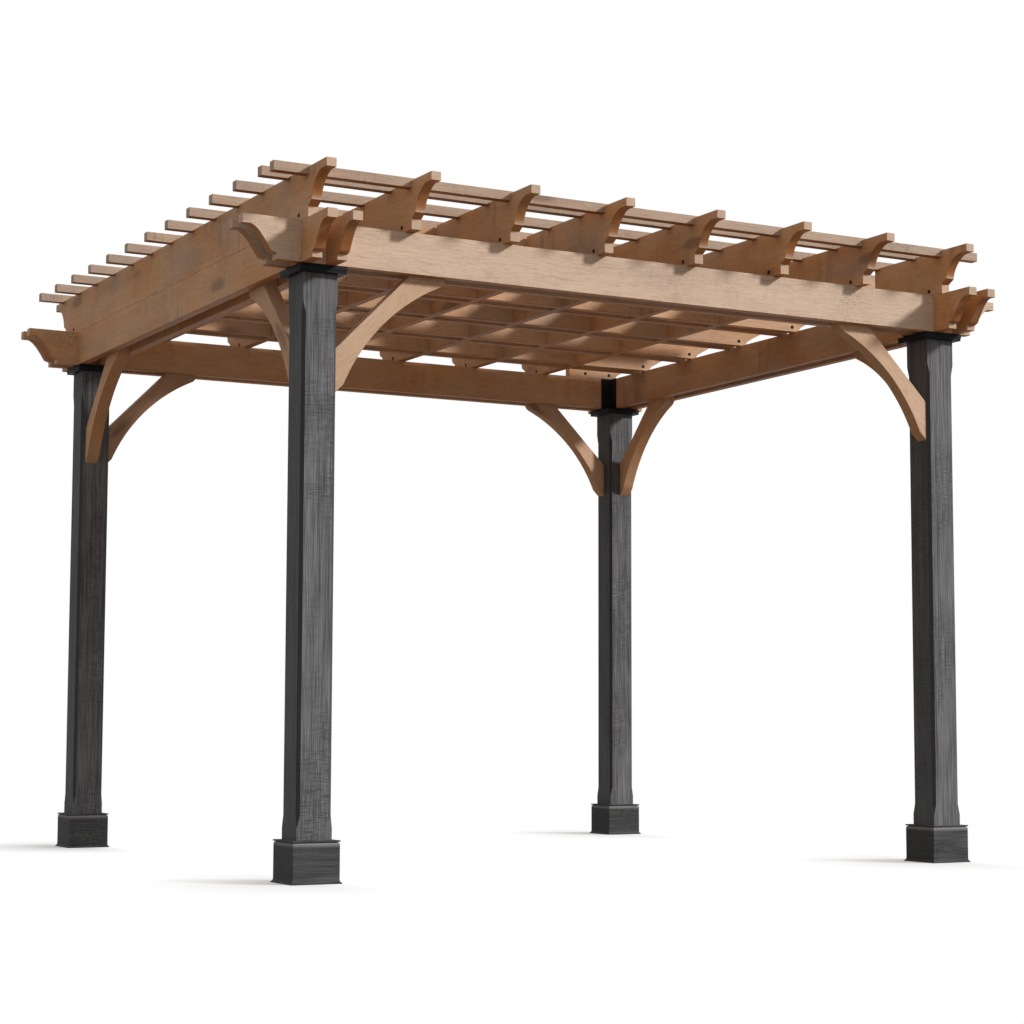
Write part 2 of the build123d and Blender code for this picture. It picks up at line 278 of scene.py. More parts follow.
def mix_colour(tree, factor, a, b, blend="MIX"):
    """Colour mix; each value is a socket or a colour."""
    node = tree.nodes.new("ShaderNodeMix")
    node.data_type = "RGBA"
    node.blend_type = blend
    for socket, value in ((node.inputs[0], factor), (node.inputs[6], a), (node.inputs[7], b)):
        if isinstance(value, bpy.types.NodeSocket):
            tree.links.new(value, socket)
        elif isinstance(value, (int, float)):
            socket.default_value = value
        else:
            socket.default_value = (*value[:3], 1.0)
    return node.outputs[2]


def laid_over(tree, colour, mask, strength, over, blend="MIX"):
    """Colour with another laid over it by a mask; the strength is a socket or a number."""
    return mix_colour(tree, times(tree, mask, strength), colour, over, blend)


def stretch(tree, vector, scale):
    return vector_maths(tree, "MULTIPLY", vector, scale)


def parts(tree, vector):
    """The X, Y and Z parts of a vector."""
    node = tree.nodes.new("ShaderNodeSeparateXYZ")
    tree.links.new(vector, node.inputs[0])
    return node.outputs


def object_place(tree):
    return tree.nodes.new("ShaderNodeTexCoord").outputs["Object"]


def noise(tree, vector, scale, detail=3.0, roughness=0.55, distortion=0.0):
    node = add(tree, "ShaderNodeTexNoise", Scale=scale, Detail=detail,
               Roughness=roughness, Distortion=distortion)
    tree.links.new(vector, node.inputs["Vector"])
    return node.outputs["Fac"]


def waved(tree, vector, scale, push):
    """Vector pushed off its line by a slow noise."""
    slow = add(tree, "ShaderNodeTexNoise", Scale=1.0, Detail=1.0)
    tree.links.new(stretch(tree, vector, scale), slow.inputs["Vector"])
    middle = vector_maths(tree, "SUBTRACT", slow.outputs["Color"], (0.5, 0.5, 0.5))
    return vector_maths(tree, "ADD", vector, stretch(tree, middle, push))


def remap(tree, value, low, high, to_low=0.0, to_high=1.0):
    """Value that runs from to_low to to_high as the given one runs from low to high."""
    node = add(tree, "ShaderNodeMapRange")
    node.inputs["From Min"].default_value = low
    node.inputs["From Max"].default_value = high
    node.inputs["To Min"].default_value = to_low
    node.inputs["To Max"].default_value = to_high
    tree.links.new(value, node.inputs["Value"])
    return node.outputs[0]


def group(name, inputs, outputs):
    """Empty node group with named sockets, and its input and output nodes."""
    tree = bpy.data.node_groups.new(name, "ShaderNodeTree")
    for label, kind, value in inputs:
        socket = tree.interface.new_socket(label, in_out="INPUT", socket_type=kind)
        if value is not None:
            socket.default_value = value
    for label, kind in outputs:
        tree.interface.new_socket(label, in_out="OUTPUT", socket_type=kind)
    return tree, tree.nodes.new("NodeGroupInput"), tree.nodes.new("NodeGroupOutput")


def use_group(tree, node_group, **values):
    node = tree.nodes.new("ShaderNodeGroup")
    node.node_tree = node_group
    for key, value in values.items():
        node.inputs[key].default_value = value
    return node


def board_group():
    """Which board a point is on: boards are told apart by cells laid across them."""
    tree, source, sink = group("board", [
        ("Vector", "NodeSocketVector", None),
        ("Start", "NodeSocketVector", (0, 0, 0)),
        ("Cell", "NodeSocketVector", (1, 1, 1)),
    ], [("Shift", "NodeSocketVector"), ("Tone", "NodeSocketFloat")])
    inside = vector_maths(tree, "SUBTRACT", source.outputs["Vector"], source.outputs["Start"])
    share = vector_maths(tree, "DIVIDE", inside, source.outputs["Cell"])
    toss = add(tree, "ShaderNodeTexWhiteNoise", noise_dimensions="3D")
    links(tree, [
        (vector_maths(tree, "FLOOR", share), toss.inputs["Vector"]),
        (vector_maths(tree, "SCALE", toss.outputs["Color"], scale=BOARD_SHIFT), sink.inputs["Shift"]),
        (toss.outputs["Value"], sink.inputs["Tone"]),
    ])
    return tree


def linen_group():
    """Cross-hatched saw marks: fine threads along and across the grain, in patches."""
    tree, source, sink = group("linen", [
        ("Vector", "NodeSocketVector", None),
        ("Thread", "NodeSocketFloat", 200.0),
        ("Patch", "NodeSocketFloat", 3.0),
    ], [("Mask", "NodeSocketFloat")])
    at = source.outputs["Vector"]
    fine = vector_maths(tree, "SCALE", at)
    tree.links.new(source.outputs["Thread"], fine.node.inputs["Scale"])
    across = noise(tree, stretch(tree, fine, (1.0, THREAD, THREAD)), 1.0, 1.0, 0.5)
    along = noise(tree, stretch(tree, fine, (THREAD, 1.0, 1.0)), 1.0, 1.0, 0.5)
    threads = maths(tree, "MAXIMUM", remap(tree, across, 0.46, 0.66), remap(tree, along, 0.5, 0.7))
    wide = vector_maths(tree, "SCALE", at)
    tree.links.new(source.outputs["Patch"], wide.node.inputs["Scale"])
    patch = noise(tree, stretch(tree, wide, (1.0, 2.2, 2.2)), 1.0, 2.0, 0.5)
    mask = times(tree, threads, remap(tree, patch, 0.44, 0.60, 0.1, 1.0))
    tree.links.new(mask, sink.inputs["Mask"])
    return tree


def knot_group():
    """Knots, and the dark pencil-like scratches beside some of them."""
    tree, source, sink = group("knots", [
        ("Vector", "NodeSocketVector", None),
    ], [("Knot", "NodeSocketFloat"), ("Halo", "NodeSocketFloat"), ("Scratch", "NodeSocketFloat")])
    at = source.outputs["Vector"]
    cells = add(tree, "ShaderNodeTexVoronoi", Scale=1.0, Randomness=1.0)
    tree.links.new(stretch(tree, at, KNOTS), cells.inputs["Vector"])
    gap = cells.outputs["Distance"]
    others = add(tree, "ShaderNodeTexVoronoi", Scale=1.0, Randomness=1.0)
    tree.links.new(stretch(tree, at, SCRATCH_PLACES), others.inputs["Vector"])
    turn = tree.nodes.new("ShaderNodeMapping")
    turn.inputs["Rotation"].default_value = SCRATCH_TURN
    tree.links.new(at, turn.inputs["Vector"])
    strokes = noise(tree, stretch(tree, turn.outputs["Vector"], SCRATCHES), 1.0, 2.0, 0.6)
    place = remap(tree, others.outputs["Distance"], 0.34, 0.2)
    links(tree, [
        (remap(tree, gap, 0.17, 0.09), sink.inputs["Knot"]),
        (remap(tree, gap, 0.42, 0.1), sink.inputs["Halo"]),
        (times(tree, remap(tree, strokes, 0.56, 0.66), place), sink.inputs["Scratch"]),
    ])
    return tree


def clean_grain(tree, light, dark, bands, line, fibre, saw):
    """Board before the weather gets at it: two tones in bands, dark lines, fibres and saw marks."""
    colour = laid_over(tree, light, remap(tree, bands, 0.34, 0.68), 0.2, dark)
    colour = laid_over(tree, colour, line, 0.3, LINE_SHADE, "MULTIPLY")
    colour = laid_over(tree, colour, remap(tree, fibre, 0.4, 0.7), 0.14, FIBRE_SHADE, "MULTIPLY")
    return laid_over(tree, colour, saw, 0.30, SAW_SHADE, "MULTIPLY")


def stained(tree, source, colour):
    """Grey stains in clouds."""
    cloud = noise(tree, stretch(tree, source.outputs["Vector"], STAINS), 1.0, 4.0, 0.6)
    return laid_over(tree, colour, remap(tree, cloud, 0.50, 0.68), source.outputs["Weather"], CEDAR_GREY)


def marked(tree, marks, colour, dark):
    """Knots with their halos, and scratches."""
    colour = laid_over(tree, colour, marks["Halo"], 0.22, dark)
    colour = laid_over(tree, colour, marks["Knot"], 0.55, KNOT)
    return laid_over(tree, colour, marks["Scratch"], 0.62, INK)


def under_cover(tree, source, colour):
    """Warm patches and dark drips, on the faces that are not made paler for the sunlit side."""
    at = source.outputs["Vector"]
    shade_side = maths(tree, "SUBTRACT", 1.0, source.outputs["SunlitAndBleached"])
    glow = noise(tree, stretch(tree, at, WARM_PATCHES), 1.0, 2.0, 0.5)
    warm = remap(tree, glow, 0.42, 0.62, 0.0, 0.8)
    colour = laid_over(tree, colour, warm, shade_side, WARM, "MULTIPLY")
    run = noise(tree, stretch(tree, at, DRIP_RUNS), 1.0, 3.0, 0.6)
    wet = noise(tree, stretch(tree, at, DRIP_PLACES), 1.0, 1.0, 0.5)
    drip = times(tree, remap(tree, run, 0.52, 0.66), remap(tree, wet, 0.5, 0.62))
    drip = times(tree, drip, source.outputs["Weather"])
    return laid_over(tree, colour, drip, shade_side, DRIP, "MULTIPLY")


def end_grain(tree, at):
    """Growth rings on the sawn ends."""
    rings = noise(tree, stretch(tree, at, END_RINGS), 1.0, 2.0, 0.5, 1.2)
    return laid_over(tree, CEDAR_END, remap(tree, rings, 0.4, 0.62), 0.3, PALE_DARK)


def grain_group(linen, knots):
    """Weathered cedar with the grain along X: wavy lines, saw marks, knots and grey stains."""
    tree, source, sink = group("grain", [
        ("Vector", "NodeSocketVector", None),
        ("Tone", "NodeSocketFloat", 0.5),
        ("SunlitAndBleached", "NodeSocketFloat", 0.0),
        ("UndersideShade", "NodeSocketFloat", 0.0),
        ("End", "NodeSocketFloat", 0.0),
        ("Saw", "NodeSocketFloat", 0.5),
        ("Weather", "NodeSocketFloat", 0.5),
        ("Tint", "NodeSocketColor", WHITE),
    ], WOOD_OUTPUTS)
    at = source.outputs["Vector"]
    wavy = waved(tree, at, WAVES, WAVE_PUSH)
    bands = noise(tree, stretch(tree, at, BANDS), 1.0, 4.0, 0.6, 0.8)
    line = remap(tree, noise(tree, stretch(tree, wavy, LINES), 1.0, 2.0, 0.55), 0.5, 0.68)
    fibre = noise(tree, stretch(tree, at, FIBRES), 1.0, 2.0, 0.6)
    weave = use_group(tree, linen, Thread=330.0, Patch=3.2)
    marks = use_group(tree, knots)
    links(tree, [(at, weave.inputs["Vector"]), (at, marks.inputs["Vector"])])
    saw = times(tree, weave.outputs["Mask"], source.outputs["Saw"])

    # paler tones on sunlit faces, painted light along with sun bleaching; orange tones elsewhere,
    # painted shade along with unweathered wood
    light = mix_colour(tree, source.outputs["SunlitAndBleached"], FRESH_SHADE_LIGHT, PALE_LIGHT)
    dark = mix_colour(tree, source.outputs["SunlitAndBleached"], FRESH_SHADE_DARK, PALE_DARK)
    colour = clean_grain(tree, light, dark, bands, line, fibre, saw)
    colour = stained(tree, source, colour)
    colour = marked(tree, marks.outputs, colour, dark)
    colour = under_cover(tree, source, colour)
    colour = mix_colour(tree, source.outputs["End"], colour, end_grain(tree, at))
    # painted shade on downward faces
    colour = mix_colour(tree, source.outputs["UndersideShade"], colour, UNDERSIDE_SHADE, "MULTIPLY")
    colour = mix_colour(tree, 1.0, colour, source.outputs["Tint"], "MULTIPLY")

    bright = tree.nodes.new("ShaderNodeHueSaturation")
    height = maths(tree, "SUBTRACT", times(tree, fibre, 0.5), times(tree, line, 0.35))
    height = maths(tree, "SUBTRACT", height, times(tree, saw, 0.4))
    height = maths(tree, "SUBTRACT", height, times(tree, marks.outputs["Knot"], 0.4))
    links(tree, [
        (remap(tree, source.outputs["Tone"], 0.0, 1.0, 0.9, 1.07), bright.inputs["Value"]),
        (colour, bright.inputs["Color"]),
        (bright.outputs["Color"], sink.inputs["Color"]),
        (remap(tree, fibre, 0.2, 0.8, 0.55, 0.72), sink.inputs["Roughness"]),
        (height, sink.inputs["Height"]),
    ])
    return tree


def charcoal_group(linen):
    """Dark stained rough timber: brushed lines along X crossed by linen-like saw marks."""
    tree, source, sink = group("charcoal", [
        ("Vector", "NodeSocketVector", None),
        ("Light", "NodeSocketColor", (0.2, 0.2, 0.2, 1)),
        ("Dark", "NodeSocketColor", (0.05, 0.05, 0.05, 1)),
        ("Cross", "NodeSocketFloat", 0.5),
        ("ChamferAndShade", "NodeSocketFloat", 0.0),
    ], WOOD_OUTPUTS)
    at = source.outputs["Vector"]
    lines = noise(tree, stretch(tree, at, BRUSHED_LINES), 1.0, 2.0, 0.6)
    broad = noise(tree, stretch(tree, at, BRUSHED_BANDS), 1.0, 3.0, 0.55)
    cloud = noise(tree, stretch(tree, at, BRUSHED_CLOUDS), 1.0, 3.0, 0.5)
    weave = use_group(tree, linen, Thread=340.0, Patch=3.0)
    tree.links.new(at, weave.inputs["Vector"])
    value = maths(tree, "ADD", times(tree, remap(tree, lines, 0.36, 0.64), 0.75),
                  times(tree, remap(tree, broad, 0.35, 0.65), 0.25))
    colour = mix_colour(tree, value, source.outputs["Dark"], source.outputs["Light"])
    mask = times(tree, weave.outputs["Mask"], source.outputs["Cross"])
    colour = mix_colour(tree, mask, colour, source.outputs["Dark"])
    colour = mix_colour(tree, remap(tree, cloud, 0.5, 0.75, 0.0, 0.25), colour, source.outputs["Dark"])
    # darker by this mask: near-black chamfers, and painted shade on faces turned to -X
    colour = mix_colour(tree, source.outputs["ChamferAndShade"], colour, source.outputs["Dark"])
    links(tree, [
        (colour, sink.inputs["Color"]),
        (remap(tree, lines, 0.2, 0.8, 0.65, 0.82), sink.inputs["Roughness"]),
        (maths(tree, "SUBTRACT", lines, times(tree, mask, 0.5)), sink.inputs["Height"]),
    ])
    return tree


BOARD = board_group()
LINEN = linen_group()
GRAIN = grain_group(LINEN, knot_group())
CHARCOAL = charcoal_group(LINEN)


def new_material(name):
    material = bpy.data.materials.new(name)
    material.use_nodes = True
    tree = material.node_tree
    shader = tree.nodes["Principled BSDF"]
    return material, tree, shader


def bump(tree, height, strength, distance):
    node = add(tree, "ShaderNodeBump", Strength=strength, Distance=distance)
    tree.links.new(height, node.inputs["Height"])
    return node.outputs["Normal"]


def grain_vector(tree, along, mirrored=False):
    """Object coordinates, and the same with the grain laid along X; mirrored makes all corners alike."""
    place = object_place(tree)
    vector = vector_maths(tree, "ABSOLUTE", place) if mirrored else place
    turn = tree.nodes.new("ShaderNodeMapping")
    turn.inputs["Rotation"].default_value = along
    tree.links.new(vector, turn.inputs["Vector"])
    return place, turn.outputs["Vector"]


def facing(tree):
    """The three parts of each face's direction."""
    return parts(tree, tree.nodes.new("ShaderNodeNewGeometry").outputs["True Normal"])


def wood_vector(tree, along, start, cell, mirrored=False):
    """Grain vector that differs from board to board, and the board's tone."""
    place, vector = grain_vector(tree, along, mirrored)
    which = use_group(tree, BOARD, Start=start, Cell=cell)
    tree.links.new(place, which.inputs["Vector"])
    return vector_maths(tree, "ADD", vector, which.outputs["Shift"]), which.outputs["Tone"]


def cedar(name, along, start, cell, mirrored=False, saw=0.6, weather=0.35, end_axis=None,
          pale=1.0, pale_aside=0.15, under=1.0, tint=WHITE):
    """Cedar boards whose grain runs one way; front and top faces are paler, partly sun bleaching and
    partly painted light, and downward faces get painted shade.
    """
    material, tree, shader = new_material(name)
    vector, tone = wood_vector(tree, along, start, cell, mirrored)
    wood = use_group(tree, GRAIN, Saw=saw, Weather=weather, Tint=tint)
    way = facing(tree)
    # painted light: front faces and tops are made paler, along with sun bleaching
    upright = times(tree, times(tree, way["Y"], -1.0), remap(tree, way["Z"], -0.12, -0.01))
    sunny = maths(tree, "MAXIMUM", upright, way["Z"])
    if end_axis:
        end = remap(tree, maths(tree, "ABSOLUTE", way[end_axis]), 0.9, 0.98)
        tree.links.new(end, wood.inputs["End"])
    links(tree, [
        (vector, wood.inputs["Vector"]),
        (tone, wood.inputs["Tone"]),
        (remap(tree, sunny, 0.3, 0.85, pale_aside, pale), wood.inputs["SunlitAndBleached"]),
        # painted shade on faces that turn downwards
        (remap(tree, way["Z"], -0.02, -0.3, 0.0, under), wood.inputs["UndersideShade"]),
        (wood.outputs["Color"], shader.inputs["Base Color"]),
        (wood.outputs["Roughness"], shader.inputs["Roughness"]),
        (bump(tree, wood.outputs["Height"], 0.6, 0.0012), shader.inputs["Normal"]),
    ])
    shader.inputs["Specular IOR Level"].default_value = 0.25
    return material


def highlight_band(tree, height):
    """Mask for the painted highlight on the rounding just below a height."""
    up = parts(tree, object_place(tree))["Z"]
    near = remap(tree, up, height - HIGHLIGHT_START, height - HIGHLIGHT_WHOLE, 0.0, HIGHLIGHT_STRENGTH)
    return times(tree, near, remap(tree, up, height + HIGHLIGHT_EDGE, height - HIGHLIGHT_EDGE))


def charcoal(name, light, dark, cross, along=ALONG_Z, lay=(1, 1, 1), highlight_to=None):
    """Rough timber under a charcoal stain, with near-black corner chamfers, painted shade on faces
    turned to -X and maybe a painted highlight band.
    """
    material, tree, shader = new_material(name)
    vector = wood_vector(tree, along, BELOW_GROUND, QUARTERS)[0]
    wood = use_group(tree, CHARCOAL, Light=light, Dark=dark, Cross=cross)
    way = facing(tree)
    corner = maths(tree, "ABSOLUTE", times(tree, way["X"], way["Y"]))
    # painted shade: faces turned to -X made darker
    shaded = remap(tree, way["X"], -0.75, -0.95, 0.0, 0.45)
    colour = wood.outputs["Color"]
    if highlight_to:
        # painted highlight band under the lip
        colour = mix_colour(tree, highlight_band(tree, highlight_to), colour, SHOULDER_HIGHLIGHT)
    links(tree, [
        (stretch(tree, vector, lay), wood.inputs["Vector"]),
        (maths(tree, "MAXIMUM", remap(tree, corner, 0.3, 0.45, 0.0, 0.9), shaded), wood.inputs["ChamferAndShade"]),
        (colour, shader.inputs["Base Color"]),
        (wood.outputs["Roughness"], shader.inputs["Roughness"]),
        (bump(tree, wood.outputs["Height"], 0.7, 0.0015), shader.inputs["Normal"]),
    ])
    shader.inputs["Specular IOR Level"].default_value = 0.2
    return material


def black_metal(name, colour, roughness):
    """Black coated metal with a faint orange peel."""
    material, tree, shader = new_material(name)
    place = object_place(tree)
    fleck = noise(tree, place, 900.0, 2.0)
    cloud = noise(tree, place, 14.0, 3.0)
    tint = mix_colour(tree, remap(tree, cloud, 0.35, 0.7), colour, tuple(c * CLOUDED for c in colour))
    links(tree, [
        (tint, shader.inputs["Base Color"]),
        (remap(tree, cloud, 0.3, 0.7, roughness - 0.08, roughness + 0.1), shader.inputs["Roughness"]),
        (bump(tree, fleck, 0.15, 0.0005), shader.inputs["Normal"]),
    ])
    shader.inputs["Specular IOR Level"].default_value = 0.08
    return material


def finish_materials():
    """Every finish, by the name of the pieces that have it."""
    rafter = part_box("rafter_1")
    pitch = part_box("rafter_2")[0].x - rafter[0].x
    board = rafter[1].x - rafter[0].x
    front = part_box("beam_front")
    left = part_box("beam_left")
    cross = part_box("cross_beam_1")
    cross_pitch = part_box("cross_beam_2")[0].y - cross[0].y
    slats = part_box("roof_slats")
    pair = (front[1].y - front[0].y) - board
    far = -WIDE / 2
    beam_start = (far, front[0].y - pair * BEAM_LEAD, far)
    beam_cell = (WIDE, pair, WIDE)
    whole = (WIDE, WIDE, WIDE)
    brace = {"mirrored": True, "saw": 0.2, "weather": 0.1, "pale": 0.8, "pale_aside": 0.4,
             "under": 0.4, "tint": BRACE_TINT}
    return {
        "beam_front": cedar("cedar_beam_front", ALONG_X, beam_start, beam_cell, end_axis="X", saw=0.9),
        # beam_back and cross are made less pale than beam_front: painted shade on their faces under the
        # roof
        "beam_back": cedar("cedar_beam_back", ALONG_X, beam_start, beam_cell, end_axis="X", pale=0.3),
        "beam_y": cedar("cedar_beam_y", ALONG_Y, (left[0].x - pair * BEAM_LEAD, far, far),
                        (pair, WIDE, WIDE), weather=0.5, end_axis="Y"),
        "rafter": cedar("cedar_rafter", ALONG_Y, (rafter[0].x - pitch / 2, far, far),
                        (pitch, WIDE, WIDE), weather=0.6, end_axis="Y"),
        "cross": cedar("cedar_cross", ALONG_X, (far, cross[0].y - CROSS_LEAD, far),
                       (WIDE, cross_pitch / CROSS_CELLS, WIDE), end_axis="X", pale=0.4),
        "slat": cedar("cedar_slat", ALONG_X, (far, slats[0].y - SLAT_LEAD, far),
                      (WIDE, SLAT_CELL, WIDE), end_axis="X", saw=1.0, pale=0.8, tint=SLAT_TINT),
        "brace_across": cedar("cedar_brace_x", SLANT_X, (0, 0, 0), whole, **brace),
        "brace_along": cedar("cedar_brace_y", SLANT_Y, (0, 0, 0), whole, **brace),
        "post": charcoal("charcoal_post", POST_LIGHT, POST_DARK, 0.75),
        "base": charcoal("charcoal_base", BASE_LIGHT, BASE_DARK, 0.8, along=ROUND_Z, lay=BASE_LAY,
                         highlight_to=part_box("base_front_left")[1].z - BASE_LIP_THICK),
        "cap": black_metal("black_moulding", CAP_BLACK, 0.55),
        "steel": black_metal("black_steel", STEEL_BLACK, 0.5),
    }


def pick_faces(piece, wanted):
    """In edit mode, with only the wanted faces selected."""
    bpy.ops.object.mode_set(mode="EDIT")
    bpy.ops.mesh.select_mode(type="FACE")
    bpy.ops.mesh.select_all(action="DESELECT")
    bpy.ops.object.mode_set(mode="OBJECT")
    for face in piece.data.polygons:
        face.select = wanted(face)
    bpy.ops.object.mode_set(mode="EDIT")


def soften(node, width, material):
    """Bevelled copy of a CAD node, which it replaces."""
    bpy.ops.object.select_all(action="DESELECT")
    source = frame["nodes"][node]
    piece = source.copy()
    piece.data = source.data.copy()
    piece.name = f"{node}_dressed"
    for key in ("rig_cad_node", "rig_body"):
        if key in piece:
            del piece[key]
    bpy.context.scene.collection.objects.link(piece)
    piece.parent = None
    piece.select_set(True)
    bpy.context.view_layer.objects.active = piece
    bpy.ops.object.mode_set(mode="EDIT")
    bpy.ops.mesh.select_all(action="SELECT")
    bpy.ops.mesh.remove_doubles(threshold=MERGE)
    bpy.ops.mesh.dissolve_limited(angle_limit=FLAT_ANGLE)
    bpy.ops.object.mode_set(mode="OBJECT")
    dress(piece, node, width, material)


def dress(piece, node, width, material):
    """Worn edges and a finish for the piece that replaces a CAD node."""
    edge = piece.modifiers.new("arris", "BEVEL")
    edge.width = width
    edge.segments = ARRIS_STEPS
    edge.limit_method = "ANGLE"
    edge.angle_limit = ARRIS_ANGLE
    edge.use_clamp_overlap = True
    bpy.ops.object.modifier_apply(modifier=edge.name)
    bpy.ops.object.shade_smooth_by_angle(angle=ARRIS_ANGLE)
    flat = piece.modifiers.new("flat", "WEIGHTED_NORMAL")
    flat.keep_sharp = True
    bpy.ops.object.modifier_apply(modifier=flat.name)
    piece.data.materials.clear()
    piece.data.materials.append(material)
    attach(piece, "root")
    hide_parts(node)


def base_profile(height, foot):
    """Outline of a base box, as steps of how far out and how high."""
    turns = [math.radians(90) * step / CURVE_STEPS for step in range(1, CURVE_STEPS + 1)]
    neck = height - BASE_LIP_THICK
    spread = foot - BASE_WALL
    flare = [(foot - spread * math.sin(t), BASE_EDGE + BASE_FLARE * (1 - math.cos(t))) for t in turns]
    body = [(BASE_WALL, neck - BASE_SHOULDER)]
    shoulder = [(BASE_WALL - BASE_SHOULDER * (1 - math.cos(t)),
                 neck - BASE_SHOULDER * (1 - math.sin(t))) for t in turns]
    return flare + body + shoulder + [(BASE_LIP, neck), (BASE_LIP, height), (0.0, height), (0.0, 0.0)]


def base_box(corner, material):
    """Box of boards round a post foot: flared foot, rounded shoulder and thin lip."""
    low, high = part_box(f"base_{corner}")
    post_low, post_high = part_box(f"post_{corner}")
    post = (post_high.x - post_low.x) / 2
    reach = (high.x - low.x) / 2
    bpy.ops.object.select_all(action="DESELECT")
    bpy.ops.mesh.primitive_cube_add(size=1.0, location=(0, 0, BASE_EDGE / 2),
                                    scale=(reach * 2, reach * 2, BASE_EDGE))
    piece = bpy.context.object
    piece.name = f"base_{corner}_dressed"
    bpy.ops.object.transform_apply(location=True, rotation=True, scale=True)
    pick_faces(piece, lambda face: face.normal.z > LEVEL)
    last_half, last_height = reach, BASE_EDGE
    for out, rise in base_profile(high.z, reach - post):
        share = (post + out) / last_half
        bpy.ops.mesh.extrude_region_move(TRANSFORM_OT_translate={"value": (0, 0, rise - last_height)})
        bpy.ops.transform.resize(value=(share, share, 1))
        last_half, last_height = post + out, rise
    bpy.ops.object.mode_set(mode="OBJECT")
    pick_faces(piece, lambda face: abs(face.normal.z) > LEVEL and face.center.z < GROUND)
    bpy.ops.mesh.delete(type="ONLY_FACE")
    bpy.ops.mesh.select_mode(type="EDGE")
    bpy.ops.mesh.select_all(action="DESELECT")
    bpy.ops.mesh.select_non_manifold()
    bpy.ops.mesh.bridge_edge_loops()
    bpy.ops.mesh.select_all(action="SELECT")
    bpy.ops.mesh.normals_make_consistent(inside=False)
    bpy.ops.object.mode_set(mode="OBJECT")
    piece.location = ((low.x + high.x) / 2, (low.y + high.y) / 2, 0)
    bpy.ops.object.transform_apply(location=True, rotation=True, scale=True)
    dress(piece, f"base_{corner}", POST_ARRIS, material)


def dress_pieces(finish):
    """Replace each CAD node by a piece in the right finish."""
    for corner in CORNERS:
        soften(f"post_{corner}", POST_ARRIS, finish["post"])
        base_box(corner, finish["base"])
        soften(f"cap_{corner}", POST_ARRIS, finish["cap"])
        soften(f"bracket_{corner}", STEEL_ARRIS, finish["steel"])
        soften(f"brace_{corner}_across", ARRIS, finish["brace_across"])
        soften(f"brace_{corner}_along", ARRIS, finish["brace_along"])
    for name in ("beam_front", "beam_back"):
        soften(name, ARRIS, finish[name])
    for name in ("beam_left", "beam_right"):
        soften(name, ARRIS, finish["beam_y"])
    for name in sorted(RAFTERS + CROSS_BEAMS):
        soften(name, ARRIS, finish["rafter" if name in RAFTERS else "cross"])
    soften("roof_slats", ARRIS, finish["slat"])


def screw(place, way):
    """Screw head with a sloping rim and a round recess, at a place and pointing one way."""
    bpy.ops.object.select_all(action="DESELECT")
    depth = SCREW_RISE + SCREW_SUNK
    bpy.ops.mesh.primitive_cylinder_add(vertices=SCREW_SIDES, radius=SCREW_HEAD / 2, depth=depth,
                                        location=(0, 0, SCREW_RISE - depth / 2))
    head = bpy.context.object
    pick_faces(head, lambda face: face.normal.z > LEVEL)
    bpy.ops.mesh.inset(thickness=SCREW_RIM, depth=SCREW_RIM_RISE)
    bpy.ops.mesh.inset(thickness=SCREW_FLAT, depth=0.0)
    bpy.ops.mesh.inset(thickness=RECESS_WALL, depth=-RECESS_DEPTH)
    bpy.ops.object.mode_set(mode="OBJECT")
    bpy.ops.object.shade_smooth_by_angle(angle=ARRIS_ANGLE)
    head.rotation_euler = Vector(way).to_track_quat("Z", "Y").to_euler()
    head.location = place
    bpy.ops.object.transform_apply(location=True, rotation=True, scale=True)
    return head


def joined(name, heads, material):
    """One piece made of several screw heads."""
    bpy.ops.object.select_all(action="DESELECT")
    for head in heads:
        head.select_set(True)
    bpy.context.view_layer.objects.active = heads[0]
    bpy.ops.object.join()
    piece = bpy.context.object
    piece.name = name
    piece.data.materials.append(material)
    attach(piece, "root")


def rafter_screws(material):
    """A screw through each rafter over the front beam, and over the back beam for the full ones."""
    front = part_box("post_front_left")[0].y - BEAM_OUTSET_Y
    heads = []
    for name in RAFTERS:
        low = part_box(name)[0]
        height = low.z + FOOT_UP
        heads.append(screw((low.x, front + FOOT_BACK, height), (-1, 0, 0)))
        if name != "corner_rafter":
            heads.append(screw((low.x, -front - FOOT_BACK_REAR, height), (-1, 0, 0)))
    joined("rafter_screws", heads, material)


def cross_beam_screws(material):
    """A screw through each cross beam over the right beam, and one more in the short one."""
    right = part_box("post_front_right")[1].x + BEAM_OUTSET_X
    heads = []
    for name in CROSS_BEAMS:
        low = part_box(name)[0]
        heads.append(screw((right - CROSS_IN, low.y, low.z + FOOT_UP), (0, -1, 0)))
    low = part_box("corner_cross_beam")[0]
    heads.append(screw((low.x + CORNER_CROSS_IN, low.y, low.z + FOOT_UP), (0, -1, 0)))
    joined("cross_beam_screws", heads, material)


def bracket_screws(material):
    """Two screws through each leg of the upright angles."""
    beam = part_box("beam_front")[0].z
    heads = []
    for corner in CORNERS:
        low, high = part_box(f"bracket_{corner}")
        side_x = math.copysign(1, low.x + high.x)
        side_y = math.copysign(1, low.y + high.y)
        inner_x = side_x * (max(abs(low.x), abs(high.x)) - BRACKET_TO_ANGLE)
        inner_y = side_y * (max(abs(low.y), abs(high.y)) - BRACKET_TO_ANGLE)
        for rise in ANGLE_SCREW_RISES:
            heads.append(screw((inner_x - side_x * ANGLE_SCREW_OUT, inner_y - side_y * ANGLE_THICK,
                                beam + rise), (0, -side_y, 0)))
            heads.append(screw((inner_x - side_x * ANGLE_THICK, inner_y - side_y * ANGLE_SCREW_OUT,
                                beam + rise), (-side_x, 0, 0)))
    joined("bracket_screws", heads, material)


def seen_directly(tree):
    """One for what the camera sees, also in gloss and through glass."""
    path = tree.nodes.new("ShaderNodeLightPath")
    seen = maths(tree, "MAXIMUM", path.outputs["Is Camera Ray"], path.outputs["Is Transmission Ray"])
    return maths(tree, "MAXIMUM", seen, path.outputs["Is Glossy Ray"])


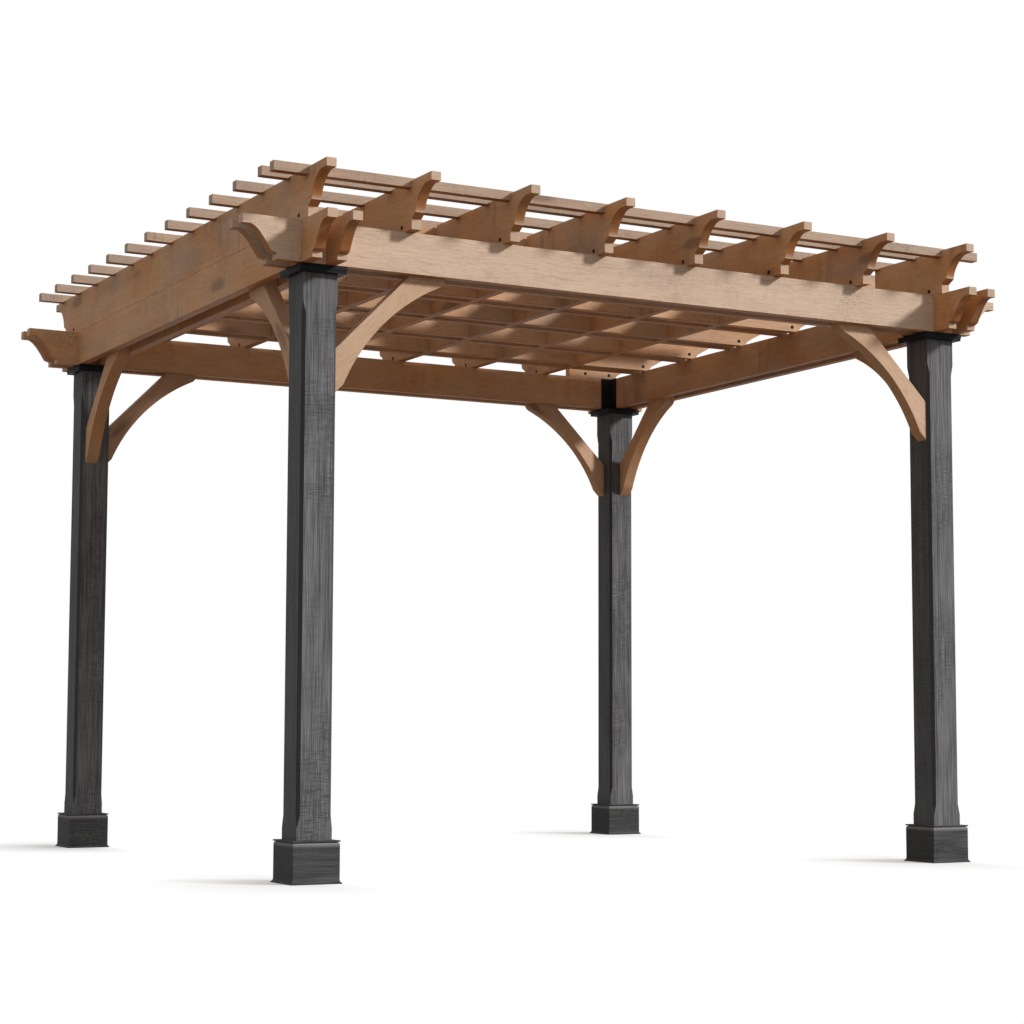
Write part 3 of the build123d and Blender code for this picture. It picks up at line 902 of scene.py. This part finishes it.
def floor_material():
    """White floor with soft shadows by the post feet; it throws little light upwards."""
    material, tree, shader = new_material("white_floor")
    shader.inputs["Base Color"].default_value = FLOOR_WHITE
    shader.inputs["Roughness"].default_value = 1.0
    shader.inputs["Specular IOR Level"].default_value = 0.0
    place = object_place(tree)
    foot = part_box("post_front_right")
    middle = ((foot[0].x + foot[1].x) / 2, -(foot[0].y + foot[1].y) / 2, 0)
    gap = vector_maths(tree, "SUBTRACT", vector_maths(tree, "ABSOLUTE", place), middle)
    far = vector_maths(tree, "LENGTH", gap)
    near = remap(tree, far, SHADOW_FULL, SHADOW_REACH, SHADOW_STRENGTH, 0.0)
    across = times(tree, parts(tree, gap)["X"], maths(tree, "SIGN", parts(tree, place)["X"]))
    near = times(tree, near, remap(tree, across, SHADOW_ENDS, SHADOW_WHOLE))
    glow = add(tree, "ShaderNodeEmission", Strength=1.0)
    glow.inputs["Color"].default_value = WHITE
    dull = tree.nodes.new("ShaderNodeBsdfDiffuse")
    dull.inputs["Color"].default_value = FLOOR_BOUNCE
    shadowed = tree.nodes.new("ShaderNodeMixShader")
    choose = tree.nodes.new("ShaderNodeMixShader")
    links(tree, [
        (near, shadowed.inputs[0]),
        (glow.outputs[0], shadowed.inputs[1]),
        (shader.outputs[0], shadowed.inputs[2]),
        (seen_directly(tree), choose.inputs[0]),
        (dull.outputs[0], choose.inputs[1]),
        (shadowed.outputs[0], choose.inputs[2]),
        (choose.outputs[0], tree.nodes["Material Output"].inputs["Surface"]),
    ])
    return material


def floor():
    """Floor that reaches past the edges of the picture."""
    bpy.ops.object.select_all(action="DESELECT")
    bpy.ops.mesh.primitive_plane_add(size=FLOOR_SIZE, location=(0, FLOOR_BACK, 0))
    piece = bpy.context.object
    piece.name = "floor"
    bpy.ops.object.transform_apply(location=True, rotation=True, scale=True)
    piece.data.materials.append(floor_material())


def world():
    """White surroundings for the camera, and a plain pale sky for the light."""
    sky = bpy.data.worlds.new("pale_sky")
    sky.use_nodes = True
    bpy.context.scene.world = sky
    tree = sky.node_tree
    tree.nodes.clear()
    light = add(tree, "ShaderNodeBackground", Strength=SKY_STRENGTH)
    light.inputs["Color"].default_value = SKY_COLOUR
    white = add(tree, "ShaderNodeBackground", Strength=1.0)
    white.inputs["Color"].default_value = WHITE
    choose = tree.nodes.new("ShaderNodeMixShader")
    output = tree.nodes.new("ShaderNodeOutputWorld")
    links(tree, [
        (seen_directly(tree), choose.inputs[0]),
        (light.outputs[0], choose.inputs[1]),
        (white.outputs[0], choose.inputs[2]),
        (choose.outputs[0], output.inputs["Surface"]),
    ])


def sun():
    """Sun lamp from the front right."""
    data = bpy.data.lights.new("sun", "SUN")
    data.energy = SUN_STRENGTH
    data.angle = math.radians(SUN_SIZE)
    data.color = SUN_COLOUR
    lamp = bpy.data.objects.new("sun", data)
    lamp.rotation_euler = Vector(SUN_TOWARDS).to_track_quat("-Z", "Y").to_euler()
    bpy.context.scene.collection.objects.link(lamp)


def camera():
    """Camera at the photograph's place and angle."""
    data = bpy.data.cameras.new("camera")
    data.lens = CAMERA_LENS
    data.sensor_width = SENSOR
    data.clip_end = CAMERA_REACH
    eye = bpy.data.objects.new("camera", data)
    upright = Matrix.Rotation(math.radians(90) + CAMERA_PITCH, 4, "X")
    turned = Matrix.Rotation(-CAMERA_YAW, 4, "Z") @ upright @ Matrix.Rotation(CAMERA_ROLL, 4, "Z")
    eye.matrix_world = Matrix.Translation(CAMERA_PLACE) @ turned
    bpy.context.scene.collection.objects.link(eye)
    bpy.context.scene.camera = eye


finish = finish_materials()
dress_pieces(finish)
rafter_screws(finish["steel"])
cross_beam_screws(finish["steel"])
bracket_screws(finish["steel"])
floor()
world()
sun()
camera()
bpy.context.scene.view_settings.view_transform = "Standard"
